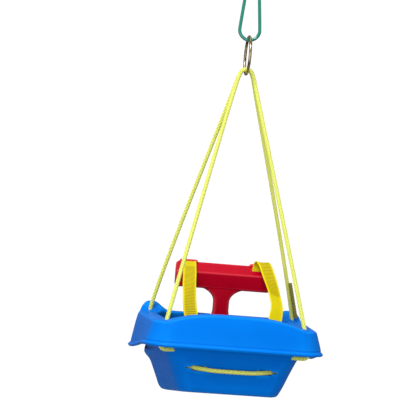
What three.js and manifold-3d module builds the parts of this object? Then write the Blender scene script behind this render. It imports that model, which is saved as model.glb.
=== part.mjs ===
// Toddler bucket swing: a moulded bucket seat with a hinged T-bar and two shoulder straps,
// hung by two ropes from one ring and a closed hanger link.
// Millimetres, +Z up, +X to the child's right, +Y towards the front of the seat (the side the child faces).
// The origin is inside the top bend of the hanger link, where the whole swing hangs.
import * as THREE from 'three';
import { mergeVertices } from 'three/addons/utils/BufferGeometryUtils.js';
import Module from 'manifold-3d';

const wasm = await Module();
wasm.setup();

// ---- driving dimensions -------------------------------------------------------------------
const GAP = 0.3;                       // clearance between touching pieces

const LINK_WIRE = 7.5;                 // coated steel wire of the hanger link
const LINK_TOP_RADIUS = 12;            // centre line radius of the narrow top bend
const LINK_BOTTOM_RADIUS = 22.5;       // centre line radius of the wide bottom bend
const LINK_LENGTH = 150;               // centre line, top to bottom

const RING_WIRE = 6.5;
const RING_RADIUS = 41.5;              // centre line

const ROPE = 9.5;                      // rope diameter
const ROPE_HOLE = 14.5;
const TAIL = 9;                        // the tucked end of the front rope, pulled thin
const RING_TO_HOLES = 542;             // bottom of the ring down to the level of the four rope holes

const WALL = 4;                        // wall of the moulded seat
const SEAT_DEPTH = 149;                // rope hole level down to the rear edge of the underside
const FLOOR_SLOPE = 0.11;              // the underside drops towards the front
const FLOOR_REAR = -97;
const SEAT_SHIFT = -35.5;              // moves the seat back so that its weight hangs under the ring
const PLAN_TAPER = 0.00037;            // the rim widens towards the front, per mm of depth
const REAR_HOLE_X = 145;               // rope holes
const FRONT_HOLE_X = 163;
const HOLE_Y = 128;

const STRAP_WIDTH = 30;
const STRAP_THICKNESS = 2.6;
const STRAP_X = 81;                    // strap slots in the crossbar
const TAB_WIDTH = 44;                  // lower end of the strap, where the rear rope passes through it
const TAB_LENGTH = 38;
const TAB_HOLE = 38;
const TAB_X = 77;

const HINGE_Y = 154;                   // hinge axis of the T-bar
const HINGE_Z = -16;
const BOLT = 8;

// ---- heights that follow -------------------------------------------------------------------
const LINK_BOTTOM_Z = LINK_WIRE / 2 - LINK_LENGTH;
const RING_CENTRE_Z = LINK_BOTTOM_Z + LINK_WIRE / 2 + GAP + RING_WIRE / 2 - RING_RADIUS;
const SEAT_Z = RING_CENTRE_Z - RING_RADIUS - RING_WIRE / 2 - RING_TO_HOLES;

// ---- materials -----------------------------------------------------------------------------
const finish = (color, roughness, metalness) =>
  new THREE.MeshStandardMaterial({ color, roughness, metalness });
const SEAT_BLUE = finish(0x0a6be8, 0.42, 0);
const BAR_RED = finish(0xc4102c, 0.4, 0);
const STRAP_GOLD = finish(0xeccb06, 0.45, 0);
const ROPE_LEMON = finish(0xe9ec6a, 0.7, 0);
const LINK_TEAL = finish(0x02937c, 0.25, 0);
const RING_BRASS = finish(0x6b5026, 0.35, 1);
const BOLT_STEEL = finish(0xb8bcc0, 0.35, 1);

// ---- small helpers -------------------------------------------------------------------------
const point = (x, y, z) => new THREE.Vector3(x, y, z);
const mix = (a, b, t) => a + (b - a) * t;
const smooth = (value, low, high) => THREE.MathUtils.smoothstep(value, low, high);
const mirrorX = (points) => points.map((p) => point(-p.x, p.y, p.z));
const seatSpace = (points) => points.map((p) => point(p.x, p.y + SEAT_SHIFT, p.z + SEAT_Z));

function toSolid(geometry) {
  const bare = geometry.index ? geometry.toNonIndexed() : geometry.clone();
  bare.deleteAttribute('normal');
  bare.deleteAttribute('uv');
  const merged = mergeVertices(bare, 1e-4);
  const mesh = new wasm.Mesh({
    numProp: 3,
    vertProperties: Float32Array.from(merged.attributes.position.array),
    triVerts: Uint32Array.from(merged.index.array),
  });
  return new wasm.Manifold(mesh);
}

function toGeometry(solid) {
  const mesh = solid.getMesh();
  const geometry = new THREE.BufferGeometry();
  geometry.setAttribute('position', new THREE.BufferAttribute(new Float32Array(mesh.vertProperties), 3));
  geometry.setIndex(new THREE.BufferAttribute(new Uint32Array(mesh.triVerts), 1));
  geometry.computeVertexNormals();
  return geometry;
}

function box(x, y, z, centre) {
  return toSolid(new THREE.BoxGeometry(x, y, z).translate(centre.x, centre.y, centre.z));
}

// A round bar between two points.
function rod(from, to, diameter, sides = 24) {
  const length = from.distanceTo(to);
  const geometry = new THREE.CylinderGeometry(diameter / 2, diameter / 2, length, sides);
  const turn = new THREE.Quaternion().setFromUnitVectors(point(0, 1, 0), to.clone().sub(from).normalize());
  const middle = from.clone().lerp(to, 0.5);
  return geometry.applyQuaternion(turn).translate(middle.x, middle.y, middle.z);
}

function circle(diameter, sides) {
  const shape = new THREE.Shape();
  for (let i = 0; i < sides; i++) {
    const angle = (2 * Math.PI * i) / sides;
    const x = (diameter / 2) * Math.cos(angle);
    const y = (diameter / 2) * Math.sin(angle);
    if (i === 0) shape.moveTo(x, y);
    else shape.lineTo(x, y);
  }
  return shape;
}

// A round tube along a smooth curve through the points.
function tube(points, diameter, sides, steps, closed = false) {
  const path = new THREE.CatmullRomCurve3(points, closed, 'centripetal');
  return new THREE.ExtrudeGeometry(circle(diameter, sides), { steps, extrudePath: path });
}

// ---- seat plan -----------------------------------------------------------------------------
// Every ring of the seat surface is a rounded rectangle. All rings have the same count of points.
const ARC_STEPS = 9;
const SIDE_STEPS = 9;

function planRing({ half, back, front, frontRadius, rearRadius, taper, height }) {
  const corners = [
    { x: half - frontRadius, y: front - frontRadius, radius: frontRadius },
    { x: -half + frontRadius, y: front - frontRadius, radius: frontRadius },
    { x: -half + rearRadius, y: back + rearRadius, radius: rearRadius },
    { x: half - rearRadius, y: back + rearRadius, radius: rearRadius },
  ];
  const outline = [];
  corners.forEach((corner, i) => {
    const arc = [];
    for (let k = 0; k <= ARC_STEPS; k++) {
      const angle = (Math.PI / 2) * (i + k / ARC_STEPS);
      arc.push([corner.x + corner.radius * Math.cos(angle), corner.y + corner.radius * Math.sin(angle)]);
    }
    outline.push(...arc);
    const next = corners[(i + 1) % 4];
    const turn = (Math.PI / 2) * (i + 1);
    const target = [next.x + next.radius * Math.cos(turn), next.y + next.radius * Math.sin(turn)];
    const last = arc[ARC_STEPS];
    for (let k = 1; k < SIDE_STEPS; k++) {
      outline.push([mix(last[0], target[0], k / SIDE_STEPS), mix(last[1], target[1], k / SIDE_STEPS)]);
    }
  });
  return outline.map(([x, y]) => {
    const wide = x * (1 + taper * y);
    return point(wide, y, height(wide, y));
  });
}

// A surface through a list of rings. Loose ends close on a centre point, a loop closes on itself.
function skin(rings, loop) {
  const count = rings[0].length;
  const positions = rings.flat().flatMap((p) => [p.x, p.y, p.z]);
  const index = [];
  const strips = loop ? rings.length : rings.length - 1;
  for (let r = 0; r < strips; r++) {
    const a = r * count;
    const b = ((r + 1) % rings.length) * count;
    for (let i = 0; i < count; i++) {
      const j = (i + 1) % count;
      index.push(a + i, b + i, b + j, a + i, b + j, a + j);
    }
  }
  if (!loop) {
    for (const [ring, flip] of [[0, true], [rings.length - 1, false]]) {
      const centre = positions.length / 3;
      const mean = rings[ring].reduce((sum, p) => sum.add(p), point(0, 0, 0)).divideScalar(count);
      positions.push(mean.x, mean.y, mean.z);
      for (let i = 0; i < count; i++) {
        const j = (i + 1) % count;
        const a = ring * count;
        if (flip) index.push(centre, a + i, a + j);
        else index.push(centre, a + j, a + i);
      }
    }
  }
  const geometry = new THREE.BufferGeometry();
  geometry.setAttribute('position', new THREE.Float32BufferAttribute(positions, 3));
  geometry.setIndex(index);
  return geometry;
}

// ---- seat shell ----------------------------------------------------------------------------
const REAR_ARCH = 20;                  // the rim rises to the middle of the backrest
const CORNER_RISE = 20;                // the arms end in raised front corners
const CORNER_X = 160;
const FRONT_RISE = 3;
const LIP_REAR = -52;                  // lower edge of the skirt
const LIP_FRONT = -79;
const LIP_FRONT_MIDDLE = -52;
const FRONT_RECESS = 17;               // the skirt is hollowed underneath where the front rope turns

function rimTop(x, y) {
  const arch = REAR_ARCH * Math.max(0, 1 - Math.abs(x / 145) ** 3) * (1 - smooth(y, -118, -75));
  const away = Math.min(1, Math.max(0, Math.abs(Math.abs(x) - CORNER_X) - 6) / 34);
  const corner = CORNER_RISE * Math.cos((Math.PI / 2) * away) ** 2 * smooth(y, 127, 140);
  const front = FRONT_RISE * smooth(y, 100, 140);
  return arch + corner + front;
}

function lip(x, y) {
  const side = mix(LIP_REAR, LIP_FRONT, smooth(y, -150, 120));
  const middle = smooth(y, 120, 175) * (1 - smooth(Math.abs(x), 30, 150));
  return mix(side, LIP_FRONT_MIDDLE, middle);
}

const recess = (y) => FRONT_RECESS * smooth(y, 60, 120);

// One ring of the rim or of the skirt, measured from the rim top or from the lip.
const rimRing = (half, back, front, frontRadius, rearRadius, drop) =>
  planRing({
    half, back, front, frontRadius, rearRadius, taper: PLAN_TAPER,
    height: (x, y) => rimTop(x, y) - drop,
  });
const lipRing = (half, back, front, frontRadius, rearRadius, rise, deep = 0) =>
  planRing({
    half, back, front, frontRadius, rearRadius, taper: PLAN_TAPER,
    height: (x, y) => lip(x, y) + rise + deep * recess(y),
  });

// Tub wall, from the skirt (0) to the seat floor (1). It narrows towards the rear more and more.
const TUB = [
  { t: 0, half: 158, back: -129, front: 150, frontRadius: 66, rearRadius: 38, taper: 0.00095 },
  { t: 0.2, half: 146.7, back: -125, front: 145, frontRadius: 60, rearRadius: 36, taper: 0.00085 },
  { t: 0.45, half: 137.5, back: -120, front: 136, frontRadius: 54, rearRadius: 34, taper: 0.00093 },
  { t: 0.7, half: 129.5, back: -115, front: 125, frontRadius: 50, rearRadius: 32, taper: 0.00106 },
  { t: 0.88, half: 123, back: -110.5, front: 114, frontRadius: 44, rearRadius: 30, taper: 0.00123 },
  { t: 0.97, half: 117, back: -105.5, front: 105, frontRadius: 38, rearRadius: 26, taper: 0.00125 },
  { t: 1, half: 107, back: FLOOR_REAR, front: 94, frontRadius: 30, rearRadius: 20, taper: 0.00128 },
];

const underside = (y) => -SEAT_DEPTH - FLOOR_SLOPE * (y - FLOOR_REAR);

function tubRing({ t, half, back, front, frontRadius, rearRadius, taper }, inset) {
  return planRing({
    half: half - inset,
    back: back + inset,
    front: front - inset,
    frontRadius: frontRadius - inset,
    rearRadius: rearRadius - inset,
    taper,
    height: (x, y) => mix(lip(x, y) - 9, underside(y), t) + inset * smooth(t, 0.5, 1),
  });
}

function seatSurface() {
  const outside = [
    rimRing(149, -119, 143, 44, 40, 0),
    rimRing(176, -146, 164, 62, 34, 0),
    rimRing(181.5, -151.5, 169.5, 66, 38, 2.5),
    rimRing(184, -154, 172, 68, 40, 8),
    lipRing(194.5, -164, 182.5, 78, 49, 13),
    lipRing(195, -164, 182.5, 78, 49, 9.5),
    lipRing(198, -167, 185, 81, 52, 7),
    lipRing(200, -168.5, 186.5, 82, 53, 3.5),
    lipRing(197.5, -166.5, 184.5, 80, 51, 0),
    lipRing(192, -162.5, 180, 76, 47, 1, 0.3),
    lipRing(176, -151, 168, 68, 42, 7, 1),
    lipRing(163, -136, 156, 64, 40, 3, 1),
    ...TUB.map((ring) => tubRing(ring, 0)),
  ];
  const inside = [
    rimRing(145, -115.5, 139.5, 41, 37, 1.5),
    rimRing(143, -114, 138, 38, 35, 6),
    lipRing(142, -118, 139, 38, 35, 8),
    ...TUB.slice(1).map((ring) => tubRing(ring, WALL)),
  ];
  return toSolid(skin([...inside.reverse(), ...outside], false));
}

// The rim is a hollow box section, as blow moulding leaves it.
function rimHollow() {
  const hollow = [
    rimRing(150, -121, 144, 44, 40, 5),
    rimRing(174, -144, 161, 60, 32, 5),
    lipRing(189.5, -159.5, 177.5, 74, 45, 14, 0.5),
    lipRing(190, -160, 178, 74, 45, 8, 0.6),
    lipRing(176, -151, 168, 68, 42, 12, 1),
    lipRing(159, -134, 152, 59, 38, 9, 1),
    lipRing(150, -122.5, 146, 50, 38, 12, 1),
  ];
  return toSolid(skin(hollow, true));
}

// Where the T-bar is hinged the rim is solid, and a notch lets the stem through.
const NOTCH = 46;
const NOTCH_FLOOR = -35;
const HINGE_BLOCK = 118;
const POCKET_NEAR = 37;                // pockets for the bolt head and the nut, from the middle
const POCKET_FAR = 54;

function hingeCuts() {
  const notch = box(NOTCH, 80, 80, point(0, 160, NOTCH_FLOOR + 40));
  const farLeft = point(-POCKET_FAR, HINGE_Y, HINGE_Z);
  const farRight = point(POCKET_FAR, HINGE_Y, HINGE_Z);
  const bore = toSolid(rod(farLeft, farRight, BOLT + 0.4));
  const middle = (POCKET_NEAR + POCKET_FAR) / 2;
  const cuts = [notch, bore];
  for (const side of [-1, 1]) {
    cuts.push(box(POCKET_FAR - POCKET_NEAR, 60, 24, point(side * middle, HINGE_Y - 11 + 30, HINGE_Z)));
  }
  return cuts;
}

// ---- rope routes, in seat space: x, y from the middle of the seat, z from the rope hole level ----
// Slots in the backrest let the rear rope out. Each ends in a thin slit.
const SLOT_Z = -95;
const SLOT_HEIGHT = 11.5;
const SLOT_NEAR = 54;
const SLOT_FAR = 86;
const SLIT_HEIGHT = 3.5;
const SLIT_FAR = 97;

// Left half of the rear rope: through the rim, in through the corner of the tub, out of the slot.
const REAR_ROPE_LEFT = [
  point(-REAR_HOLE_X, -HOLE_Y, 4),
  point(-149.5, -132.5, -18),
  point(-155.5, -139, -41),
  point(-156, -140, -51),
  point(-149.5, -136.5, -58),
  point(-138, -129, -59.5),
  point(-121, -117, -60.5),
  point(-107, -107, -67),
  point(-99, -101, -80),
  point(-93, -102.5, -92.5),
  point(-81, -113.5, -94.5),
  point(-62, -127, -95.5),
  point(-42, -129.5, -97),
  point(-18, -129.5, -97.5),
];

// Left half of the front rope: through the rim and along under the front of the skirt.
const FRONT_ROPE_LEFT = [
  point(-FRONT_HOLE_X, HOLE_Y, 4),
  point(-164, 129, -30),
  point(-164.5, 130, -54),
  point(-163.5, 134, -67),
  point(-154, 145, -73),
  point(-137, 154, -73),
  point(-112, 160, -71),
  point(-70, 162, -68),
  point(-30, 162, -66),
];

const slotBox = (side, near, far, height) =>
  box(far - near, 30, height, point((side * (near + far)) / 2, -120, SLOT_Z));

// Cutters that open the seat where a rope passes: down through the rim, in through the tub, out of the slot.
function ropeCuts() {
  const cuts = [];
  for (const side of [-1, 1]) {
    const hole = (from, to) => {
      const start = point(side * from.x, from.y, from.z);
      const end = point(side * to.x, to.y, to.z);
      cuts.push(toSolid(rod(start, end, ROPE_HOLE, 16)));
    };
    hole(point(141.5, -124, 20), point(159, -143.5, -66));
    hole(point(162.5, 127.6, 30), point(165.2, 131.5, -80));
    hole(point(145, -133.5, -58.5), point(103, -105, -64));
    cuts.push(slotBox(side, SLOT_NEAR, SLOT_FAR, SLOT_HEIGHT));
    cuts.push(slotBox(side, SLOT_FAR - 1, SLIT_FAR, SLIT_HEIGHT));
  }
  return cuts;
}

function seatShell() {
  const hollow = rimHollow().subtract(box(HINGE_BLOCK, 90, 200, point(0, 180, 0)));
  let solid = seatSurface().subtract(hollow);
  for (const cut of [...hingeCuts(), ...ropeCuts()]) solid = solid.subtract(cut);
  return toGeometry(solid);
}

// ---- T-bar ---------------------------------------------------------------------------------
const BAR_LENGTH = 220;
const BAR_BOTTOM = 60.5;
const BAR_TOP = 119;
const BAR_RIDGE = 98;                  // the edge towards the child
const BAR_MIDDLE = (BAR_BOTTOM + BAR_TOP) / 2;
const STEM_WIDTH = 36;
const STEM_THICKNESS = 25;
const FOOT_WIDTH = 41;
const FOOT_DIAMETER = 27;

const END_ROUND = 9;                   // rounding at both ends of the crossbar
const END_STEPS = 4;
const END_SHRINK = 0.24;

// Each strap comes up through a slot in the bar and is held by a stop in a pocket under the slot.
const SLOT_IN_BAR_Y = HINGE_Y - 4;
const SLOT_IN_BAR = { x: STRAP_WIDTH + 4, y: 8 };
const STOP = { x: STRAP_WIDTH + 12, y: 8, z: 7 };
const STOP_Z = BAR_BOTTOM + 6;
const POCKET_TOP = STOP_Z + STOP.z / 2 + 2;
const BOSS = { x: 41, y: 12, z: 10 };  // behind the slot, on top of the bar

// Crossbar section: a flat front, a sloped upper face, and a ridge towards the child.
// It is scaled about its middle, for the rounded ends and for the hollow inside.
function crossbar(half, thickness, steps) {
  const section = new THREE.Shape();
  section.moveTo(10, BAR_BOTTOM);
  section.quadraticCurveTo(14, BAR_BOTTOM, 14, BAR_BOTTOM + 5);
  section.lineTo(14, BAR_TOP - 8);
  section.quadraticCurveTo(13, BAR_TOP, 6, BAR_TOP - 0.5);
  section.lineTo(-15, BAR_RIDGE + 1);
  section.quadraticCurveTo(-19, BAR_RIDGE - 3, -18, BAR_RIDGE - 8);
  section.lineTo(-13.5, BAR_BOTTOM + 5);
  section.quadraticCurveTo(-12.5, BAR_BOTTOM, -8, BAR_BOTTOM);
  const outline = section.getPoints(4).slice(0, -1);
  const rings = [];
  for (const end of [-1, 1]) {
    for (let i = 0; i <= steps; i++) {
      // Each end is rounded: the section shrinks towards the end face along a quarter ellipse.
      const angle = (Math.PI / 2) * (end < 0 ? i / steps : 1 - i / steps);
      const x = end * (half - END_ROUND * (1 - Math.cos(angle)));
      const round = 1 - END_SHRINK * (1 - Math.sin(angle));
      const deep = round * thickness.y;
      const tall = round * thickness.z;
      rings.push(outline.map((p) => point(x, HINGE_Y + p.x * deep, BAR_MIDDLE + (p.y - BAR_MIDDLE) * tall)));
    }
  }
  return toSolid(skin(rings.reverse(), false));
}

// The stem widens into the crossbar with large fillets and into the foot with small ones.
function stem() {
  const half = STEM_WIDTH / 2;
  const wide = 38;                     // fillet under the crossbar, sideways
  const tall = 30;                     // and down the stem
  const top = BAR_BOTTOM + 2;
  const outline = new THREE.Shape();
  outline.moveTo(-FOOT_WIDTH / 2, HINGE_Z);
  outline.lineTo(-FOOT_WIDTH / 2, 0);
  outline.quadraticCurveTo(-half, 6, -half, 16);
  outline.lineTo(-half, top - tall);
  outline.quadraticCurveTo(-half, top - 2, -half - wide, top);
  outline.lineTo(-half - wide, top + 14);
  outline.lineTo(half + wide, top + 14);
  outline.lineTo(half + wide, top);
  outline.quadraticCurveTo(half, top - 2, half, top - tall);
  outline.lineTo(half, 16);
  outline.quadraticCurveTo(half, 6, FOOT_WIDTH / 2, 0);
  outline.lineTo(FOOT_WIDTH / 2, HINGE_Z);
  const bevel = 4;
  const geometry = new THREE.ExtrudeGeometry(outline, {
    depth: STEM_THICKNESS - 2 * bevel, bevelThickness: bevel, bevelSize: bevel, bevelOffset: -bevel,
    bevelSegments: 2, curveSegments: 8,
  });
  // The outline stands in XZ; the extrusion runs along -Y.
  geometry.rotateX(Math.PI / 2).translate(0, HINGE_Y + STEM_THICKNESS / 2 - bevel, 0);
  return toSolid(geometry);
}

// The bar is hollow between the strap slots, with small vents in its front.
const VENT_X = [-103, 0, 103];
const VENT = 4;

function barHollow() {
  let hollow = crossbar(BAR_LENGTH / 2 - WALL, point(1, 0.7, 0.84), 2);
  for (const side of [-1, 1]) {
    hollow = hollow.subtract(box(STOP.x + 3 * WALL, 60, 100, point(side * STRAP_X, HINGE_Y, BAR_MIDDLE)));
  }
  for (const x of VENT_X) {
    const inside = point(x, HINGE_Y, BAR_MIDDLE);
    const outside = point(x, HINGE_Y + 30, BAR_MIDDLE);
    hollow = hollow.add(toSolid(rod(inside, outside, VENT, 12)));
  }
  return hollow;
}

function tBar() {
  let solid = crossbar(BAR_LENGTH / 2, point(1, 1, 1), END_STEPS).add(stem()).subtract(barHollow());
  const foot = rod(
    point(-FOOT_WIDTH / 2, HINGE_Y, HINGE_Z), point(FOOT_WIDTH / 2, HINGE_Y, HINGE_Z), FOOT_DIAMETER, 32,
  );
  solid = solid.add(toSolid(foot));
  for (const side of [-1, 1]) {
    const bossY = SLOT_IN_BAR_Y + SLOT_IN_BAR.y / 2 + BOSS.y / 2;
    solid = solid.add(box(BOSS.x, BOSS.y, BOSS.z, point(side * STRAP_X, bossY, BAR_TOP)));
  }
  for (const side of [-1, 1]) {
    const pocketBottom = BAR_BOTTOM - 10;
    const pocketMiddle = (pocketBottom + POCKET_TOP) / 2;
    solid = solid
      .subtract(box(SLOT_IN_BAR.x, SLOT_IN_BAR.y, 100, point(side * STRAP_X, SLOT_IN_BAR_Y, BAR_TOP)))
      .subtract(box(STOP.x + 2, STOP.y + 2, POCKET_TOP - pocketBottom,
        point(side * STRAP_X, SLOT_IN_BAR_Y, pocketMiddle)));
  }
  const bore = rod(point(-40, HINGE_Y, HINGE_Z), point(40, HINGE_Y, HINGE_Z), BOLT + 0.4);
  return toGeometry(solid.subtract(toSolid(bore)));
}

// ---- straps --------------------------------------------------------------------------------
// Centre line of the left strap: from the stop up through the slot, over the ridge, down to the backrest.
const STRAP_LEFT = [
  point(-STRAP_X, SLOT_IN_BAR_Y, STOP_Z - 2),
  point(-STRAP_X, SLOT_IN_BAR_Y, 90),
  point(-STRAP_X, SLOT_IN_BAR_Y - 0.5, 110),
  point(-STRAP_X, SLOT_IN_BAR_Y - 4, 117.5),
  point(-STRAP_X, SLOT_IN_BAR_Y - 11, 119.5),
  point(-STRAP_X - 1, 128, 115),
  point(-STRAP_X - 2, 100, 102),
  point(-STRAP_X - 7, 30, 65),
  point(-STRAP_X - 8, -40, 19),
  point(-TAB_X - 3, -94, -32),
  point(-TAB_X, -111, -58),
  point(-TAB_X, -116, -80),
  point(-TAB_X, -112, -105),
];

const STRAP_RIGHT = [
  point(STRAP_X, SLOT_IN_BAR_Y, STOP_Z - 2),
  point(STRAP_X, SLOT_IN_BAR_Y, 90),
  point(STRAP_X, SLOT_IN_BAR_Y - 0.5, 110),
  point(STRAP_X + 1, SLOT_IN_BAR_Y - 1.5, 122),
  point(STRAP_X + 5, SLOT_IN_BAR_Y - 9, 129),
  point(STRAP_X + 9, 130, 126),
  point(STRAP_X + 14, 100, 107),
  point(STRAP_X + 21, 30, 64),
  point(STRAP_X + 22, -10, 38),
  point(STRAP_X + 12, -55, 4),
  point(TAB_X + 4, -94, -33),
  point(TAB_X, -111, -58),
  point(TAB_X, -116, -80),
  point(TAB_X, -112, -105),
];

// A flat strap: a rectangle carried along the curve with its width kept along X.
// Its lower end widens into a tab.
function ribbon(points, steps) {
  const curve = new THREE.CatmullRomCurve3(points, false, 'centripetal');
  const length = curve.getLength();
  const rings = [];
  for (let i = 0; i <= steps; i++) {
    const centre = curve.getPointAt(i / steps);
    const along = curve.getTangentAt(i / steps);
    const left = length * (1 - i / steps);
    const width = mix(TAB_WIDTH, STRAP_WIDTH, smooth(left, TAB_LENGTH, TAB_LENGTH + 12));
    const across = point(1, 0, 0).addScaledVector(along, -along.x).normalize();
    const normal = new THREE.Vector3().crossVectors(across, along);
    const corner = (a, n) =>
      centre
        .clone()
        .addScaledVector(across, (a * width) / 2)
        .addScaledVector(normal, (n * STRAP_THICKNESS) / 2);
    rings.push([corner(-1, -1), corner(1, -1), corner(1, 1), corner(-1, 1)]);
  }
  return toSolid(skin(rings, false));
}

function strap(points, side) {
  const hole = box(TAB_HOLE, 30, SLOT_HEIGHT, point(side * TAB_X, -112, SLOT_Z));
  // The stop is wider than the slot, so the strap can't pull up through the crossbar.
  const stop = box(STOP.x, STOP.y, STOP.z, point(side * STRAP_X, SLOT_IN_BAR_Y, STOP_Z));
  return toGeometry(ribbon(points, 60).subtract(hole).add(stop));
}

// ---- hinge hardware --------------------------------------------------------------------------
const WASHER_OUTSIDE = 18;
const WASHER_THICKNESS = 1.6;
const HEX = 13;                        // across the flats
const HEAD_HEIGHT = 5.3;
const NUT_HEIGHT = 8;

// A flat ring on the hinge axis, its near face at x.
function washer(x, thickness, outside) {
  const profile = [
    new THREE.Vector2(BOLT / 2 + 0.2, 0),
    new THREE.Vector2(outside / 2, 0),
    new THREE.Vector2(outside / 2, thickness),
    new THREE.Vector2(BOLT / 2 + 0.2, thickness),
    new THREE.Vector2(BOLT / 2 + 0.2, 0),
  ];
  const geometry = new THREE.LatheGeometry(profile, 32);
  return geometry.rotateZ(-Math.PI / 2).translate(x, HINGE_Y, HINGE_Z);
}

function hexagon(from, to) {
  return rod(point(from, HINGE_Y, HINGE_Z), point(to, HINGE_Y, HINGE_Z), HEX / Math.cos(Math.PI / 6), 6);
}

// Spacers fill the notch beside the foot.
const SPACER = (NOTCH - FOOT_WIDTH) / 2 - 2 * GAP;
const SPACER_OUTSIDE = 22;

// Faces of the washers and of the head, out from the middle.
const WASHER_FACE = POCKET_NEAR + GAP;
const HEAD_FACE = WASHER_FACE + WASHER_THICKNESS + GAP;

function hingeBolt() {
  const headEnd = point(-HEAD_FACE - 1, HINGE_Y, HINGE_Z);
  const nutEnd = point(HEAD_FACE + NUT_HEIGHT + 3, HINGE_Y, HINGE_Z);
  const shank = rod(headEnd, nutEnd, BOLT);
  return toGeometry(toSolid(shank).add(toSolid(hexagon(-HEAD_FACE - HEAD_HEIGHT, -HEAD_FACE))));
}

function lockNut() {
  const bore = rod(point(POCKET_NEAR, HINGE_Y, HINGE_Z), point(POCKET_FAR + 5, HINGE_Y, HINGE_Z), BOLT + 0.4);
  return toGeometry(toSolid(hexagon(HEAD_FACE, HEAD_FACE + NUT_HEIGHT)).subtract(toSolid(bore)));
}

// ---- hanger link and ring --------------------------------------------------------------------
function hangerLink() {
  const top = LINK_WIRE / 2 - LINK_TOP_RADIUS;
  const bottom = LINK_BOTTOM_Z + LINK_BOTTOM_RADIUS;
  const lean = Math.asin((LINK_BOTTOM_RADIUS - LINK_TOP_RADIUS) / (top - bottom));
  const points = [];
  for (let i = 0; i <= 12; i++) {
    const angle = mix(-lean, Math.PI + lean, i / 12);
    points.push(point(LINK_TOP_RADIUS * Math.cos(angle), 0, top + LINK_TOP_RADIUS * Math.sin(angle)));
  }
  for (let i = 0; i <= 16; i++) {
    const angle = mix(Math.PI + lean, 2 * Math.PI - lean, i / 16);
    const x = LINK_BOTTOM_RADIUS * Math.cos(angle);
    points.push(point(x, 0, bottom + LINK_BOTTOM_RADIUS * Math.sin(angle)));
  }
  return tube(points, LINK_WIRE, 12, 72, true);
}

function suspensionRing() {
  const geometry = new THREE.TorusGeometry(RING_RADIUS, RING_WIRE / 2, 12, 48);
  return geometry.rotateY(Math.PI / 2).translate(0, 0, RING_CENTRE_Z);
}

// ---- ropes -----------------------------------------------------------------------------------
// Over the bottom of the ring the two ropes lie side by side.
const ROPE_PITCH = ROPE / 2 + 0.5;
const ROPE_REST = RING_RADIUS - RING_WIRE / 2 - ROPE / 2 - 4.5 * GAP;
const ROPE_TOP_Z = RING_CENTRE_Z - Math.sqrt(ROPE_REST ** 2 - ROPE_PITCH ** 2);

// Left half of the rope's top, from the ring towards the seat.
const shoulder = (side) => [
  point(0, side * ROPE_PITCH, ROPE_TOP_Z),
  point(-9.5, side * ROPE_PITCH, ROPE_TOP_Z - 3),
  point(-16, side * (ROPE_PITCH + 1), ROPE_TOP_Z - 16),
  point(-24, side * (ROPE_PITCH + 5), ROPE_TOP_Z - 45),
];

function ropeLoop(side, seatHalf) {
  const left = [...shoulder(side).slice(1), ...seatSpace(seatHalf)];
  const right = mirrorX(left).reverse();
  const points = [point(0, side * ROPE_PITCH, ROPE_TOP_Z), ...left, ...right];
  return tube(points, ROPE, 10, 80, true);
}

// The free end of the front rope, tucked down beside the strand above the front right hole.
const TAIL_LOW = 6;
const TAIL_HIGH = 88;

function ropeTail() {
  const hole = seatSpace([point(FRONT_HOLE_X, HOLE_Y, 4)])[0];
  const ring = mirrorX([shoulder(1)[3]])[0];
  const beside = point(0.83, -0.55, 0).multiplyScalar(TAIL / 2 + ROPE / 2 + 1.6);
  const strand = ring.clone().sub(hole).normalize();
  const ends = [TAIL_LOW, (TAIL_LOW + TAIL_HIGH) / 2, TAIL_HIGH];
  return tube(ends.map((up) => hole.clone().addScaledVector(strand, up).add(beside)), TAIL, 10, 4);
}

// ---- assembly --------------------------------------------------------------------------------
const group = new THREE.Group();
group.name = 'toddler_bucket_swing';

function addPiece(name, geometry, material, parent = group) {
  const mesh = new THREE.Mesh(geometry, material);
  mesh.name = name;
  parent.add(mesh);
}

const seat = new THREE.Group();
seat.position.set(0, SEAT_SHIFT, SEAT_Z);
group.add(seat);

addPiece('hanger_link', hangerLink(), LINK_TEAL);
addPiece('suspension_ring', suspensionRing(), RING_BRASS);
addPiece('rear_rope', ropeLoop(-1, REAR_ROPE_LEFT), ROPE_LEMON);
addPiece('front_rope', ropeLoop(1, FRONT_ROPE_LEFT), ROPE_LEMON);
addPiece('seat_shell', seatShell(), SEAT_BLUE, seat);
addPiece('t_bar', tBar(), BAR_RED, seat);
addPiece('strap_left', strap(STRAP_LEFT, -1), STRAP_GOLD, seat);
addPiece('strap_right', strap(STRAP_RIGHT, 1), STRAP_GOLD, seat);
addPiece('hinge_bolt', hingeBolt(), BOLT_STEEL, seat);
const headWasher = washer(-WASHER_FACE - WASHER_THICKNESS, WASHER_THICKNESS, WASHER_OUTSIDE);
addPiece('head_washer', headWasher, BOLT_STEEL, seat);
addPiece('nut_washer', washer(WASHER_FACE, WASHER_THICKNESS, WASHER_OUTSIDE), BOLT_STEEL, seat);
addPiece('lock_nut', lockNut(), BOLT_STEEL, seat);
addPiece('spacer_left', washer(-FOOT_WIDTH / 2 - GAP - SPACER, SPACER, SPACER_OUTSIDE), BOLT_STEEL, seat);
addPiece('spacer_right', washer(FOOT_WIDTH / 2 + GAP, SPACER, SPACER_OUTSIDE), BOLT_STEEL, seat);
addPiece('front_rope_tail', ropeTail(), ROPE_LEMON);

export default group;
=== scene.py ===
# Toddler bucket swing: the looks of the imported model. Metres, in the frame of the CAD model:
# +Z up, +X to the child's right, +Y to the front of the seat, origin inside the top of the hanger link.
import math

import bmesh
import bpy
import numpy as np
from mathutils import Matrix, Vector


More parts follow.
